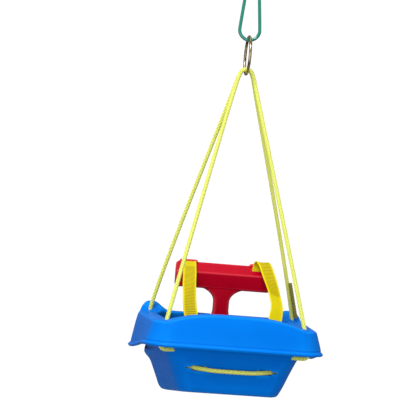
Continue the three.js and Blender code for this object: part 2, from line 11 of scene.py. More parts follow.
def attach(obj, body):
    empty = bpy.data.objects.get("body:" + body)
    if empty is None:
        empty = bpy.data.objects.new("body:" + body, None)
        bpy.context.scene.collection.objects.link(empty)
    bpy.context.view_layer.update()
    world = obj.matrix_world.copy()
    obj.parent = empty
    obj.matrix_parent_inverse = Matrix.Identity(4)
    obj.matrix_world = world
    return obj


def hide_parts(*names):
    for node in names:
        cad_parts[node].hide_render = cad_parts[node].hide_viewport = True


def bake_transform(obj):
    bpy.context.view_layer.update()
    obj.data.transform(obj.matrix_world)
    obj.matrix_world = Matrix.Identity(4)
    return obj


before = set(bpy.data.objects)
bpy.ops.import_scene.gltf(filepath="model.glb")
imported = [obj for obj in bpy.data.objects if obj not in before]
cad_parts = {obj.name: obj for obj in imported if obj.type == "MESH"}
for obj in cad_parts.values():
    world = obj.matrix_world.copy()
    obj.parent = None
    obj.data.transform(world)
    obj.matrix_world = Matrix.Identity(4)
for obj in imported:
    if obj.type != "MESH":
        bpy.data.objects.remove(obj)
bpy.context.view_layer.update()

# ---- sizes, as in part.mjs ---------------------------------------------------------------------
GAP = 0.0003                         # air between parts that would touch
LINK_WIRE = 0.0075
LINK_TOP_RADIUS = 0.012
LINK_BOTTOM_RADIUS = 0.0225
LINK_LENGTH = 0.150
RING_WIRE = 0.0065
RING_RADIUS = 0.0415
ROPE = 0.0095
ROPE_HOLE = 0.0145
TAIL = 0.009
RING_TO_HOLES = 0.542                # from the lowest point of the ring down to the level of the rope holes
WALL = 0.004
SEAT_DEPTH = 0.149                   # from the level of the rope holes down to the rear of the floor
FLOOR_SLOPE = 0.11                   # fall towards the front, per metre
FLOOR_REAR = -0.097
SEAT_SHIFT = -0.0355                 # the seat hangs a little behind the ring
PLAN_TAPER = 0.37                    # growth of the width towards the front, per metre
REAR_HOLE_X = 0.145
FRONT_HOLE_X = 0.163
HOLE_Y = 0.128
STRAP_WIDTH = 0.030
STRAP_THICKNESS = 0.0026
STRAP_X = 0.081
TAB_WIDTH = 0.044                    # lower end of the strap, where the rear rope passes through it
TAB_LENGTH = 0.038
TAB_X = 0.077
TAB_HOLE = 0.038
SLOT_Z = -0.095                      # slots in the backrest let the rear rope out, and each ends in a slit
SLOT_HEIGHT = 0.0115
SLOT_NEAR = 0.054
SLOT_FAR = 0.086
SLIT_HEIGHT = 0.0035
SLIT_FAR = 0.097
HINGE_Y = 0.154                      # axis of the T-bar, from the middle of the seat
HINGE_Z = -0.016
BOLT = 0.008

LINK_BOTTOM_Z = LINK_WIRE / 2 - LINK_LENGTH
RING_CENTRE_Z = LINK_BOTTOM_Z + LINK_WIRE / 2 + GAP + RING_WIRE / 2 - RING_RADIUS
SEAT_Z = RING_CENTRE_Z - RING_RADIUS - RING_WIRE / 2 - RING_TO_HOLES
SEAT_ORIGIN = np.array([0.0, SEAT_SHIFT, SEAT_Z])


# ---- camera --------------------------------------------------------------------------------------
# Angles in degrees. The camera stands behind the seat.
CAMERA_AZIMUTH = -6.3
CAMERA_ELEVATION = -0.85
CAMERA_ROLL = 4.65
CAMERA_DISTANCE = 3.0
CAMERA_TARGET = Vector((-0.0606, 0.0, -0.5247))
VIEW_WIDTH = 0.9184                  # what the picture spans at the target's distance
SENSOR_WIDTH = 36.0                  # millimetres, as for the lens


def add_camera():
    data = bpy.data.cameras.new("camera")
    camera = bpy.data.objects.new("camera", data)
    bpy.context.collection.objects.link(camera)
    azimuth = math.radians(CAMERA_AZIMUTH)
    elevation = math.radians(CAMERA_ELEVATION)
    away = Vector((
        math.sin(azimuth) * math.cos(elevation),
        -math.cos(azimuth) * math.cos(elevation),
        math.sin(elevation),
    ))
    look = away.to_track_quat("Z", "Y").to_matrix().to_4x4()
    roll = Matrix.Rotation(math.radians(CAMERA_ROLL), 4, "Z")
    camera.matrix_world = Matrix.Translation(CAMERA_TARGET + away * CAMERA_DISTANCE) @ look @ roll
    data.sensor_width = SENSOR_WIDTH
    data.lens = SENSOR_WIDTH * CAMERA_DISTANCE / VIEW_WIDTH
    bpy.context.scene.camera = camera


# ---- studio --------------------------------------------------------------------------------------
FILL_COLOR = (0.93, 0.96, 1.0, 1.0)
FILL_STRENGTH = 0.26
BACKDROP_COLOR = (1.0, 1.0, 1.0, 1.0)
BACKDROP_STRENGTH = 1.05             # only the camera sees the backdrop
LIGHT_TARGET = Vector((0.0, 0.0, -0.6))
# Name, place, width, power in watts, colour.
LIGHTS = [
    ("key", (-1.0, -2.0, 2.2), 1.3, 88.0, (1.0, 0.98, 0.95)),
    ("front", (-0.6, -2.9, -0.9), 1.6, 29.0, (1.0, 0.99, 0.97)),
    ("left", (-2.4, -0.9, 0.0), 1.4, 7.0, (0.95, 0.98, 1.0)),
    ("side", (2.2, -1.4, 0.2), 1.2, 5.0, (0.95, 0.98, 1.0)),
    ("top", (0.0, 0.2, 2.0), 1.4, 16.0, (1.0, 1.0, 1.0)),
]


def add_light(name, place, width, power, color):
    data = bpy.data.lights.new(name, "AREA")
    data.shape = "SQUARE"
    data.size = width
    data.energy = power
    data.color = color
    light = bpy.data.objects.new(name, data)
    bpy.context.collection.objects.link(light)
    place = Vector(place)
    turn = (place - LIGHT_TARGET).to_track_quat("Z", "Y").to_matrix().to_4x4()
    light.matrix_world = Matrix.Translation(place) @ turn


def add_studio():
    world = bpy.data.worlds.new("studio")
    bpy.context.scene.world = world
    world.use_nodes = True
    nodes = world.node_tree.nodes
    links = world.node_tree.links
    nodes.clear()
    fill = nodes.new("ShaderNodeBackground")
    fill.inputs["Color"].default_value = FILL_COLOR
    fill.inputs["Strength"].default_value = FILL_STRENGTH
    backdrop = nodes.new("ShaderNodeBackground")
    backdrop.inputs["Color"].default_value = BACKDROP_COLOR
    backdrop.inputs["Strength"].default_value = BACKDROP_STRENGTH
    path = nodes.new("ShaderNodeLightPath")
    mixer = nodes.new("ShaderNodeMixShader")
    output = nodes.new("ShaderNodeOutputWorld")
    links.new(path.outputs["Is Camera Ray"], mixer.inputs["Fac"])
    links.new(fill.outputs["Background"], mixer.inputs[1])
    links.new(backdrop.outputs["Background"], mixer.inputs[2])
    links.new(mixer.outputs["Shader"], output.inputs["Surface"])
    for light in LIGHTS:
        add_light(*light)
    bpy.context.scene.view_settings.view_transform = "Standard"


# ---- mesh helpers ----------------------------------------------------------------------------------
TINY = 1e-9                          # keeps a division from failing where two points meet
CURVE_STEPS = 24                     # points on each stretch of a route, before they are spaced evenly


def add_mesh(name, vertices, faces, material):
    mesh = bpy.data.meshes.new(name)
    mesh.from_pydata([tuple(v) for v in vertices], [], faces)
    mesh.materials.append(material)
    mesh.polygons.foreach_set("use_smooth", [True] * len(mesh.polygons))
    mesh.update()
    piece = bpy.data.objects.new(name, mesh)
    bpy.context.collection.objects.link(piece)
    return piece


# Vertices and quads of a skin over an array of rings: rings x points x 3. An open skin gets flat ends.
def grid_skin(rings, closed=False):
    count, around = rings.shape[:2]
    ring = np.arange(count if closed else count - 1)[:, None]
    column = np.arange(around)[None, :]
    after = (ring + 1) % count
    beside = (column + 1) % around
    quads = np.stack([
        ring * around + column,
        after * around + column,
        after * around + beside,
        ring * around + beside,
    ], axis=-1).reshape(-1, 4)
    vertices = rings.reshape(-1, 3)
    faces = quads.tolist()
    if not closed:
        faces.append(list(range(around)))
        faces.append([count * around - 1 - i for i in range(around)])
    return vertices, faces


# Slopes at p1 and p2 of a centripetal Catmull-Rom curve. The roots are those of the three distances.
def curve_slopes(p0, p1, p2, p3, roots):
    d0, d1, d2 = roots
    start = ((p1 - p0) / d0 - (p2 - p0) / (d0 + d1) + (p2 - p1) / d1) * d1
    end = ((p2 - p1) / d1 - (p3 - p1) / (d1 + d2) + (p3 - p2) / d2) * d1
    return start, end


# The centripetal Catmull-Rom curve that the CAD model uses, as evenly spaced points.
def smooth_route(points, closed, spacing):
    points = np.asarray(points, dtype=float)
    count = len(points)
    segments = count if closed else count - 1
    dense = []
    for i in range(segments):
        p1 = points[i]
        p2 = points[(i + 1) % count]
        p0 = points[(i - 1) % count] if closed or i > 0 else 2 * p1 - p2
        p3 = points[(i + 2) % count] if closed or i + 2 < count else 2 * p2 - p1
        roots = [max(np.linalg.norm(b - a), TINY) ** 0.5 for a, b in ((p0, p1), (p1, p2), (p2, p3))]
        t1, t2 = curve_slopes(p0, p1, p2, p3, roots)
        t = np.linspace(0, 1, CURVE_STEPS, endpoint=False)[:, None]
        cubic = 2 * p1 - 2 * p2 + t1 + t2
        square = -3 * p1 + 3 * p2 - 2 * t1 - t2
        dense.append(p1 + t1 * t + square * t ** 2 + cubic * t ** 3)
    dense = np.concatenate(dense + [points[:1] if closed else points[-1:]])
    lengths = np.concatenate([[0], np.cumsum(np.linalg.norm(np.diff(dense, axis=0), axis=1))])
    total = lengths[-1]
    steps = max(8, int(round(total / spacing)))
    marks = np.linspace(0, total, steps, endpoint=False) if closed else np.linspace(0, total, steps + 1)
    even = np.stack([np.interp(marks, lengths, dense[:, k]) for k in range(3)], axis=1)
    return even, marks, total


def unit(v):
    return v / np.maximum(np.linalg.norm(v, axis=-1, keepdims=True), 1e-12)


# A frame that doesn't twist, carried along the route. On a closed route the leftover turn is spread out.
def carried_frame(route, closed):
    if closed:
        along = unit(np.roll(route, -1, axis=0) - np.roll(route, 1, axis=0))
    else:
        along = unit(np.gradient(route, axis=0))
    side = np.zeros_like(route)
    start = np.cross(along[0], [0.0, 1.0, 0.3])
    side[0] = start / np.linalg.norm(start)
    for i in range(1, len(route)):
        carried = side[i - 1] - along[i] * np.dot(side[i - 1], along[i])
        side[i] = carried / np.linalg.norm(carried)
    up = np.cross(along, side)
    if closed:
        last = side[-1] - along[0] * np.dot(side[-1], along[0])
        turn = math.atan2(np.dot(last, up[0]), np.dot(last, side[0]))
        angle = (-turn * np.arange(len(route)) / len(route))[:, None]
        side, up = side * np.cos(angle) + up * np.sin(angle), up * np.cos(angle) - side * np.sin(angle)
    return along, side, up


def tube_rings(route, radius, sides, closed):
    _, side, up = carried_frame(route, closed)
    angle = np.linspace(0, 2 * math.pi, sides, endpoint=False)
    radius = np.broadcast_to(np.asarray(radius, dtype=float), (len(route),))
    ring = side[:, None, :] * np.cos(angle)[None, :, None] + up[:, None, :] * np.sin(angle)[None, :, None]
    return route[:, None, :] + ring * radius[:, None, None]


def join_skins(skins):
    vertices = []
    faces = []
    offset = 0
    for points, quads in skins:
        vertices.append(points)
        faces.extend([[i + offset for i in face] for face in quads])
        offset += len(points)
    return np.concatenate(vertices), faces


def apply_modifiers(piece):
    graph = bpy.context.evaluated_depsgraph_get()
    mesh = bpy.data.meshes.new_from_object(piece.evaluated_get(graph))
    piece.modifiers.clear()
    piece.data = mesh


def cut(piece, cutters):
    for cutter in cutters:
        modifier = piece.modifiers.new("cut", "BOOLEAN")
        modifier.operation = "DIFFERENCE"
        modifier.solver = "EXACT"
        modifier.object = cutter
        apply_modifiers(piece)
        bpy.data.objects.remove(cutter)


def shade_by_angle(piece, degrees):
    mesh = piece.data
    mesh.polygons.foreach_set("use_smooth", [True] * len(mesh.polygons))
    mesh.set_sharp_from_angle(angle=math.radians(degrees))


# ---- materials -------------------------------------------------------------------------------------
MIX_FIRST, MIX_SECOND, MIX_RESULT = 6, 7, 2     # the colour sockets of Blender's mix node


# A node material whose colour and roughness vary with noise in the object's own coordinates.
class Finish:
    def __init__(self, name, roughness, metallic=0.0):
        self.material = bpy.data.materials.new(name)
        self.material.use_nodes = True
        self.nodes = self.material.node_tree.nodes
        self.links = self.material.node_tree.links
        self.shader = self.nodes["Principled BSDF"]
        self.shader.inputs["Metallic"].default_value = metallic
        self.shader.inputs["Roughness"].default_value = roughness
        self.place = self.nodes.new("ShaderNodeTexCoord").outputs["Object"]

    def noise(self, scale, detail=3.0, source=None):
        node = self.nodes.new("ShaderNodeTexNoise")
        node.inputs["Scale"].default_value = scale
        node.inputs["Detail"].default_value = detail
        self.links.new(source or self.place, node.inputs["Vector"])
        return node.outputs["Fac"]

    def stretched(self, scale):
        node = self.nodes.new("ShaderNodeMapping")
        node.inputs["Scale"].default_value = scale
        self.links.new(self.place, node.inputs["Vector"])
        return node.outputs["Vector"]

    def spread(self, value, low, high, out_low=0.0, out_high=1.0):
        node = self.nodes.new("ShaderNodeMapRange")
        node.inputs["From Min"].default_value = low
        node.inputs["From Max"].default_value = high
        node.inputs["To Min"].default_value = out_low
        node.inputs["To Max"].default_value = out_high
        self.links.new(value, node.inputs["Value"])
        return node.outputs["Result"]

    def blend(self, amount, first, second):
        node = self.nodes.new("ShaderNodeMix")
        node.data_type = "RGBA"
        self.links.new(amount, node.inputs["Factor"])
        for value, index in ((first, MIX_FIRST), (second, MIX_SECOND)):
            socket = node.inputs[index]
            if isinstance(value, tuple):
                socket.default_value = (*value, 1.0)
            else:
                self.links.new(value, socket)
        return node.outputs[MIX_RESULT]

    def color(self, value):
        self.links.new(value, self.shader.inputs["Base Color"])

    def roughness(self, value):
        self.links.new(value, self.shader.inputs["Roughness"])

    def bump(self, height, distance, strength=1.0, under=None):
        node = self.nodes.new("ShaderNodeBump")
        node.inputs["Distance"].default_value = distance
        node.inputs["Strength"].default_value = strength
        self.links.new(height, node.inputs["Height"])
        if under is not None:
            self.links.new(under, node.inputs["Normal"])
        return node.outputs["Normal"]

    def soft_edges(self, radius):
        node = self.nodes.new("ShaderNodeBevel")
        node.samples = 6
        node.inputs["Radius"].default_value = radius
        return node.outputs["Normal"]

    def normal(self, value):
        self.links.new(value, self.shader.inputs["Normal"])


# How far around a point the moulded plastic looks for walls that close it in, to paint shade there.
PAINTED_SHADE_DISTANCE = 0.35


# Moulded plastic: a faint colour drift, fine grain and scuffs. Painted shade makes it darker where walls
# close it in, and a painted highlight makes it paler on sharp edges.
def moulded_plastic(name, base, shade, deep, wear_and_painted_highlight, sheen, roughness, gloss):
    finish = Finish(name, roughness)
    cloud = finish.spread(finish.noise(9.0, 4.0), 0.35, 0.7)
    plain = finish.blend(cloud, base, shade)
    # Painted shade: the colour turns deep where nearby walls of the same piece close the surface in.
    painted_shade_occlusion = finish.nodes.new("ShaderNodeAmbientOcclusion")
    painted_shade_occlusion.samples = 8
    painted_shade_occlusion.only_local = True
    painted_shade_occlusion.inputs["Distance"].default_value = PAINTED_SHADE_DISTANCE
    with_painted_shade = finish.blend(finish.spread(painted_shade_occlusion.outputs["AO"], 0.40, 0.80), deep, plain)
    # Painted highlight: sharp convex edges, such as the bar's ridge, turn to the paler colour.
    shape = finish.nodes.new("ShaderNodeNewGeometry")
    edges = finish.spread(shape.outputs["Pointiness"], 0.502, 0.522)
    finish.color(finish.blend(edges, with_painted_shade, wear_and_painted_highlight))
    grain = finish.noise(900.0, 2.0)
    waves = finish.noise(38.0, 2.0)
    scuffs = finish.noise(55.0, 6.0, finish.stretched((1.0, 1.0, 7.0)))
    finish.roughness(finish.spread(scuffs, 0.3, 0.75, roughness - 0.07, roughness + 0.12))
    rounded = finish.soft_edges(0.0012)
    grained = finish.bump(grain, 0.00012, 0.35, rounded)
    finish.normal(finish.bump(waves, 0.0009, 0.3, grained))
    finish.shader.inputs["Specular IOR Level"].default_value = gloss
    finish.shader.inputs["Specular Tint"].default_value = (*sheen, 1.0)
    return finish.material


# Filaments run along each yarn, and painted shade darkens a yarn where it dips under another.
def rope_yarn(name, bright, wear_and_painted_highlight, painted_dip_shade):
    finish = Finish(name, 0.55)
    depth = finish.nodes.new("ShaderNodeAttribute")
    depth.attribute_name = "depth"
    across = finish.nodes.new("ShaderNodeAttribute")
    across.attribute_name = "across"
    filaments = finish.nodes.new("ShaderNodeTexNoise")
    filaments.inputs["Scale"].default_value = 1.0
    filaments.inputs["Detail"].default_value = 3.0
    finish.links.new(across.outputs["Vector"], filaments.inputs["Vector"])
    threads = filaments.outputs["Fac"]
    surface = finish.blend(finish.spread(threads, 0.3, 0.7), bright, wear_and_painted_highlight)
    # Painted shade where the yarn dips under the one it crosses.
    dip_shade_amount = finish.spread(depth.outputs["Fac"], -1.0, -0.1, 0.8, 0.0)
    finish.color(finish.blend(dip_shade_amount, surface, painted_dip_shade))
    finish.normal(finish.bump(threads, 0.0003, 0.6))
    finish.shader.inputs["Subsurface Weight"].default_value = 0.15
    finish.shader.inputs["Subsurface Radius"].default_value = (0.002, 0.002, 0.001)
    return finish.material


# The core inside the hollow braid is painted dark: painted shade showing between the yarns.
def shaded_rope_core():
    finish = Finish("shaded_rope_core", 0.8)
    finish.color(finish.blend(finish.noise(400.0), (0.22, 0.22, 0.03), (0.12, 0.12, 0.015)))
    return finish.material


def strap_plastic():
    finish = Finish("strap_plastic", 0.45)
    cloud = finish.spread(finish.noise(16.0, 4.0), 0.35, 0.7)
    face = finish.blend(cloud, (0.97, 0.83, 0.001), (0.86, 0.72, 0.001))
    # Painted shade: darker in the grooves between ribs and on the panel between the borders.
    groove_shade = finish.nodes.new("ShaderNodeAttribute")
    groove_shade.attribute_name = "groove_shade"
    finish.color(finish.blend(finish.spread(groove_shade.outputs["Fac"], 0.0, 1.3), face, (0.30, 0.20, 0.001)))
    finish.roughness(finish.spread(finish.noise(120.0, 5.0), 0.3, 0.7, 0.36, 0.55))
    finish.normal(finish.bump(finish.noise(1400.0, 2.0), 0.0001, 0.4, finish.soft_edges(0.0006)))
    finish.shader.inputs["Specular IOR Level"].default_value = 0.12
    finish.shader.inputs["Subsurface Weight"].default_value = 0.08
    finish.shader.inputs["Subsurface Radius"].default_value = (0.003, 0.002, 0.001)
    return finish.material


def coated_wire():
    finish = Finish("coated_wire", 0.14)
    cloud = finish.spread(finish.noise(30.0, 4.0), 0.35, 0.7)
    finish.color(finish.blend(cloud, (0.0, 0.28, 0.20), (0.0, 0.22, 0.16)))
    finish.roughness(finish.spread(finish.noise(160.0, 5.0), 0.3, 0.75, 0.10, 0.22))
    finish.normal(finish.bump(finish.noise(90.0, 3.0), 0.0002, 0.2))
    finish.shader.inputs["Coat Weight"].default_value = 1.0
    finish.shader.inputs["Coat Roughness"].default_value = 0.06
    return finish.material


def old_brass():
    finish = Finish("old_brass", 0.3, 1.0)
    tarnish = finish.spread(finish.noise(70.0, 6.0), 0.38, 0.62)
    finish.color(finish.blend(tarnish, (0.78, 0.66, 0.42), (0.16, 0.10, 0.05)))
    finish.roughness(finish.spread(finish.noise(220.0, 5.0), 0.3, 0.7, 0.18, 0.42))
    finish.normal(finish.bump(finish.noise(500.0, 4.0), 0.0002, 0.35))
    return finish.material


def zinc_steel():
    finish = Finish("zinc_steel", 0.32, 1.0)
    spangle = finish.spread(finish.noise(240.0, 3.0), 0.35, 0.65)
    finish.color(finish.blend(spangle, (0.62, 0.63, 0.64), (0.44, 0.45, 0.47)))
    finish.roughness(finish.spread(finish.noise(600.0, 4.0), 0.3, 0.7, 0.24, 0.45))
    finish.normal(finish.bump(finish.noise(900.0, 3.0), 0.0001, 0.3, finish.soft_edges(0.0003)))
    return finish.material


# ---- seat shell ------------------------------------------------------------------------------------
# A ramp gives where along y, or how far from the middle, a change begins and ends.
REAR_ARCH = 0.020                    # the rim rises to the middle of the backrest
ARCH_HALF = 0.145
ARCH_RAMP = (-0.118, -0.075)
CORNER_RISE = 0.020                  # the arms end in raised front corners
CORNER_X = 0.160
CORNER_FLAT = 0.006
CORNER_FADE = 0.034
CORNER_RAMP = (0.127, 0.140)
FRONT_RISE = 0.003
FRONT_RAMP = (0.100, 0.140)
LIP_REAR = -0.052                    # lower edge of the skirt
LIP_FRONT = -0.079
LIP_RAMP = (-0.150, 0.120)
LIP_FRONT_MIDDLE = -0.052
LIP_MIDDLE_RAMP = (0.120, 0.175)
LIP_MIDDLE_HALF = (0.030, 0.150)
FRONT_RECESS = 0.017                 # the skirt is hollowed underneath where the front rope turns
RECESS_RAMP = (0.060, 0.120)
TUB_BELOW_LIP = 0.009
ARC_STEPS = 20
SIDE_STEPS = 26
RING_BLEND = 4                       # finer rings for each given one


def ramp(value, low, high):
    t = np.clip((value - low) / (high - low), 0.0, 1.0)
    return t * t * (3 - 2 * t)


def rim_top(x, y):
    arch = REAR_ARCH * np.maximum(0.0, 1 - np.abs(x / ARCH_HALF) ** 3) * (1 - ramp(y, *ARCH_RAMP))
    away = np.clip((np.abs(np.abs(x) - CORNER_X) - CORNER_FLAT) / CORNER_FADE, 0.0, 1.0)
    corner = CORNER_RISE * np.cos(math.pi / 2 * away) ** 2 * ramp(y, *CORNER_RAMP)
    return arch + corner + FRONT_RISE * ramp(y, *FRONT_RAMP)


def lip(x, y):
    side = LIP_REAR + (LIP_FRONT - LIP_REAR) * ramp(y, *LIP_RAMP)
    middle = ramp(y, *LIP_MIDDLE_RAMP) * (1 - ramp(np.abs(x), *LIP_MIDDLE_HALF))
    return side + (LIP_FRONT_MIDDLE - side) * middle


# The seat from above: a rectangle with rounded corners that gets wider towards the front.
def plan_outline(half, back, front, front_radius, rear_radius, taper):
    corners = [
        (half - front_radius, front - front_radius, front_radius),
        (-half + front_radius, front - front_radius, front_radius),
        (-half + rear_radius, back + rear_radius, rear_radius),
        (half - rear_radius, back + rear_radius, rear_radius),
    ]
    outline = []
    for i, (cx, cy, radius) in enumerate(corners):
        for k in range(ARC_STEPS + 1):
            angle = math.pi / 2 * (i + k / ARC_STEPS)
            outline.append((cx + radius * math.cos(angle), cy + radius * math.sin(angle)))
        x0, y0 = outline[-1]
        turn = math.pi / 2 * (i + 1)
        nx, ny, next_radius = corners[(i + 1) % 4]
        x1, y1 = nx + next_radius * math.cos(turn), ny + next_radius * math.sin(turn)
        for k in range(1, SIDE_STEPS):
            t = k / SIDE_STEPS
            outline.append((x0 + (x1 - x0) * t, y0 + (y1 - y0) * t))
    outline = np.array(outline)
    outline[:, 0] *= 1 + taper * outline[:, 1]
    return outline


def rim_ring(half, back, front, front_radius, rear_radius, drop):
    xy = plan_outline(half, back, front, front_radius, rear_radius, PLAN_TAPER)
    return np.column_stack([xy, rim_top(xy[:, 0], xy[:, 1]) - drop])


def lip_ring(half, back, front, front_radius, rear_radius, rise, deep=0.0):
    xy = plan_outline(half, back, front, front_radius, rear_radius, PLAN_TAPER)
    recess = FRONT_RECESS * ramp(xy[:, 1], *RECESS_RAMP)
    return np.column_stack([xy, lip(xy[:, 0], xy[:, 1]) + rise + deep * recess])


# Tub wall from the skirt (0) to the floor (1):
# share of the height, half width, back, front, front corner radius, rear corner radius, taper.
TUB = [
    (0, 0.158, -0.129, 0.15, 0.066, 0.038, 0.95),
    (0.2, 0.1467, -0.125, 0.145, 0.06, 0.036, 0.85),
    (0.45, 0.1375, -0.12, 0.136, 0.054, 0.034, 0.93),
    (0.7, 0.1295, -0.115, 0.125, 0.05, 0.032, 1.06),
    (0.88, 0.123, -0.1105, 0.114, 0.044, 0.03, 1.23),
    (0.97, 0.117, -0.1055, 0.105, 0.038, 0.026, 1.25),
    (1, 0.107, FLOOR_REAR, 0.094, 0.03, 0.02, 1.28),
]


def tub_ring(share, half, back, front, front_radius, rear_radius, taper, inset):
    front_round = front_radius - inset
    rear_round = rear_radius - inset
    xy = plan_outline(half - inset, back + inset, front - inset, front_round, rear_round, taper)
    top = lip(xy[:, 0], xy[:, 1]) - TUB_BELOW_LIP
    floor = -SEAT_DEPTH - FLOOR_SLOPE * (xy[:, 1] - FLOOR_REAR)
    z = top + (floor - top) * share + inset * ramp(share, 0.5, 1.0)
    return np.column_stack([xy, z])


# From the floor up the inside, over the rim, round the skirt and down the outside to the underside.
def seat_rings():
    inside = [
        rim_ring(0.145, -0.1155, 0.1395, 0.041, 0.037, 0.0015),
        rim_ring(0.143, -0.114, 0.138, 0.038, 0.035, 0.006),
        lip_ring(0.142, -0.118, 0.139, 0.038, 0.035, 0.008),
        *[tub_ring(*row, WALL) for row in TUB[1:]],
    ]
    outside = [
        rim_ring(0.149, -0.119, 0.143, 0.044, 0.040, 0.0),
        rim_ring(0.176, -0.146, 0.164, 0.062, 0.034, 0.0),
        rim_ring(0.1815, -0.1515, 0.1695, 0.066, 0.038, 0.0025),
        rim_ring(0.184, -0.154, 0.172, 0.068, 0.040, 0.008),
        lip_ring(0.1945, -0.164, 0.1825, 0.078, 0.049, 0.013),
        lip_ring(0.195, -0.164, 0.1825, 0.078, 0.049, 0.0095),
        lip_ring(0.198, -0.167, 0.185, 0.081, 0.052, 0.007),
        lip_ring(0.1998, -0.1683, 0.1863, 0.082, 0.053, 0.0042),
        lip_ring(0.2003, -0.1688, 0.1868, 0.082, 0.053, 0.0035),
        lip_ring(0.1997, -0.1682, 0.1862, 0.082, 0.053, 0.0028),
        lip_ring(0.1975, -0.1665, 0.1845, 0.080, 0.051, 0.0),
        lip_ring(0.192, -0.1625, 0.180, 0.076, 0.047, 0.001, 0.3),
        lip_ring(0.176, -0.151, 0.168, 0.068, 0.042, 0.007, 1.0),
        lip_ring(0.163, -0.136, 0.156, 0.064, 0.040, 0.003, 1.0),
        *[tub_ring(*row, 0.0) for row in TUB],
    ]
    return np.array(inside[::-1] + outside)


# More rings between the given ones, along smooth curves.
def finer_rings(rings, steps):
    fine = []
    last = len(rings) - 1
    for i in range(last):
        p1, p2 = rings[i], rings[i + 1]
        p0 = rings[i - 1] if i > 0 else 2 * p1 - p2
        p3 = rings[i + 2] if i + 2 <= last else 2 * p2 - p1
        roots = [np.sqrt(np.linalg.norm(b - a, axis=1, keepdims=True)) + TINY
                 for a, b in ((p0, p1), (p1, p2), (p2, p3))]
        t1, t2 = curve_slopes(p0, p1, p2, p3, roots)
        for t in np.linspace(0, 1, steps, endpoint=False):
            h1 = 2 * t ** 3 - 3 * t ** 2 + 1
            h2 = t ** 3 - 2 * t ** 2 + t
            h3 = -2 * t ** 3 + 3 * t ** 2
            h4 = t ** 3 - t ** 2
            fine.append(h1 * p1 + h2 * t1 + h3 * p2 + h4 * t2)
    fine.append(rings[last])
    return np.array(fine)


# Cutters are given in seat space: x, y from the middle of the seat, z from the level of the rope holes.
SCRATCH = bpy.data.materials.new("scratch")
HOLE_SIDES = 32


def hole_cutter(start, end, diameter):
    rings = tube_rings(np.array([start, end]) + SEAT_ORIGIN, diameter / 2, HOLE_SIDES, False)
    return add_mesh("cutter", *grid_skin(rings), SCRATCH)


# A box with rounded edges.
def box_cutter(low, high, radius):
    mesh = bmesh.new()
    bmesh.ops.create_cube(mesh, size=1.0)
    size = np.array(high) - np.array(low)
    middle = (np.array(high) + np.array(low)) / 2 + SEAT_ORIGIN
    for vertex in mesh.verts:
        vertex.co = Vector(middle) + Vector(np.array(vertex.co) * size)
    bmesh.ops.bevel(mesh, geom=mesh.edges, offset=radius, segments=5, affect="EDGES", profile=0.5)
    data = bpy.data.meshes.new("cutter")
    mesh.to_mesh(data)
    mesh.free()
    piece = bpy.data.objects.new("cutter", data)
    bpy.context.collection.objects.link(piece)
    return piece


NOTCH = 0.046                        # room for the T-bar's foot, in the front of the rim
NOTCH_FLOOR = -0.035
NOTCH_BACK = 0.12
POCKET_NEAR = 0.037                  # room for the bolt's head and nut
POCKET_FAR = 0.054
POCKET_BACK = HINGE_Y - 0.011
POCKET_HALF_HEIGHT = 0.012
BOLT_BORE = BOLT + 0.0004
BACK_Y = (-0.135, -0.105)            # the cutters of the backrest's openings span this
# Openings in the backrest: near end, far end, height, rounding of the edges.
BACK_OPENINGS = [
    (SLOT_NEAR, SLOT_FAR, SLOT_HEIGHT, 0.005),
    (SLOT_FAR - 0.006, SLIT_FAR, SLIT_HEIGHT, 0.0015),
]
# Start and end of the rope holes on the child's right.
ROPE_HOLES = [
    ((0.1415, -0.124, 0.020), (0.159, -0.1435, -0.066)),      # rear rope, down through the rim
    ((0.1625, 0.1276, 0.030), (0.1652, 0.1315, -0.080)),      # front rope, down through the rim
    ((0.145, -0.1335, -0.0585), (0.103, -0.105, -0.064)),     # rear rope, in through the tub's corner
]


def seat_cutters():
    cutters = [box_cutter((-NOTCH / 2, NOTCH_BACK, NOTCH_FLOOR), (NOTCH / 2, 0.20, 0.045), 0.004)]
    for side in (-1, 1):
        x = sorted((side * POCKET_NEAR, side * POCKET_FAR))
        low = (x[0], POCKET_BACK, HINGE_Z - POCKET_HALF_HEIGHT)
        high = (x[1], 0.203, HINGE_Z + POCKET_HALF_HEIGHT)
        cutters.append(box_cutter(low, high, 0.002))
        for near, far, height, radius in BACK_OPENINGS:
            x = sorted((side * near, side * far))
            low = (x[0], BACK_Y[0], SLOT_Z - height / 2)
            high = (x[1], BACK_Y[1], SLOT_Z + height / 2)
            cutters.append(box_cutter(low, high, radius))
        for start, end in ROPE_HOLES:
            cutters.append(hole_cutter((side * start[0], *start[1:]), (side * end[0], *end[1:]), ROPE_HOLE))
    far_left = (-POCKET_FAR, HINGE_Y, HINGE_Z)
    far_right = (POCKET_FAR, HINGE_Y, HINGE_Z)
    cutters.append(hole_cutter(far_left, far_right, BOLT_BORE))
    return cutters


def add_seat(material):
    rings = finer_rings(seat_rings(), RING_BLEND) + SEAT_ORIGIN
    seat = add_mesh("seat_moulding", *grid_skin(rings), material)
    cut(seat, seat_cutters())
    shade_by_angle(seat, degrees=35)
    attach(seat, "seat")
    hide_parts("seat_shell")


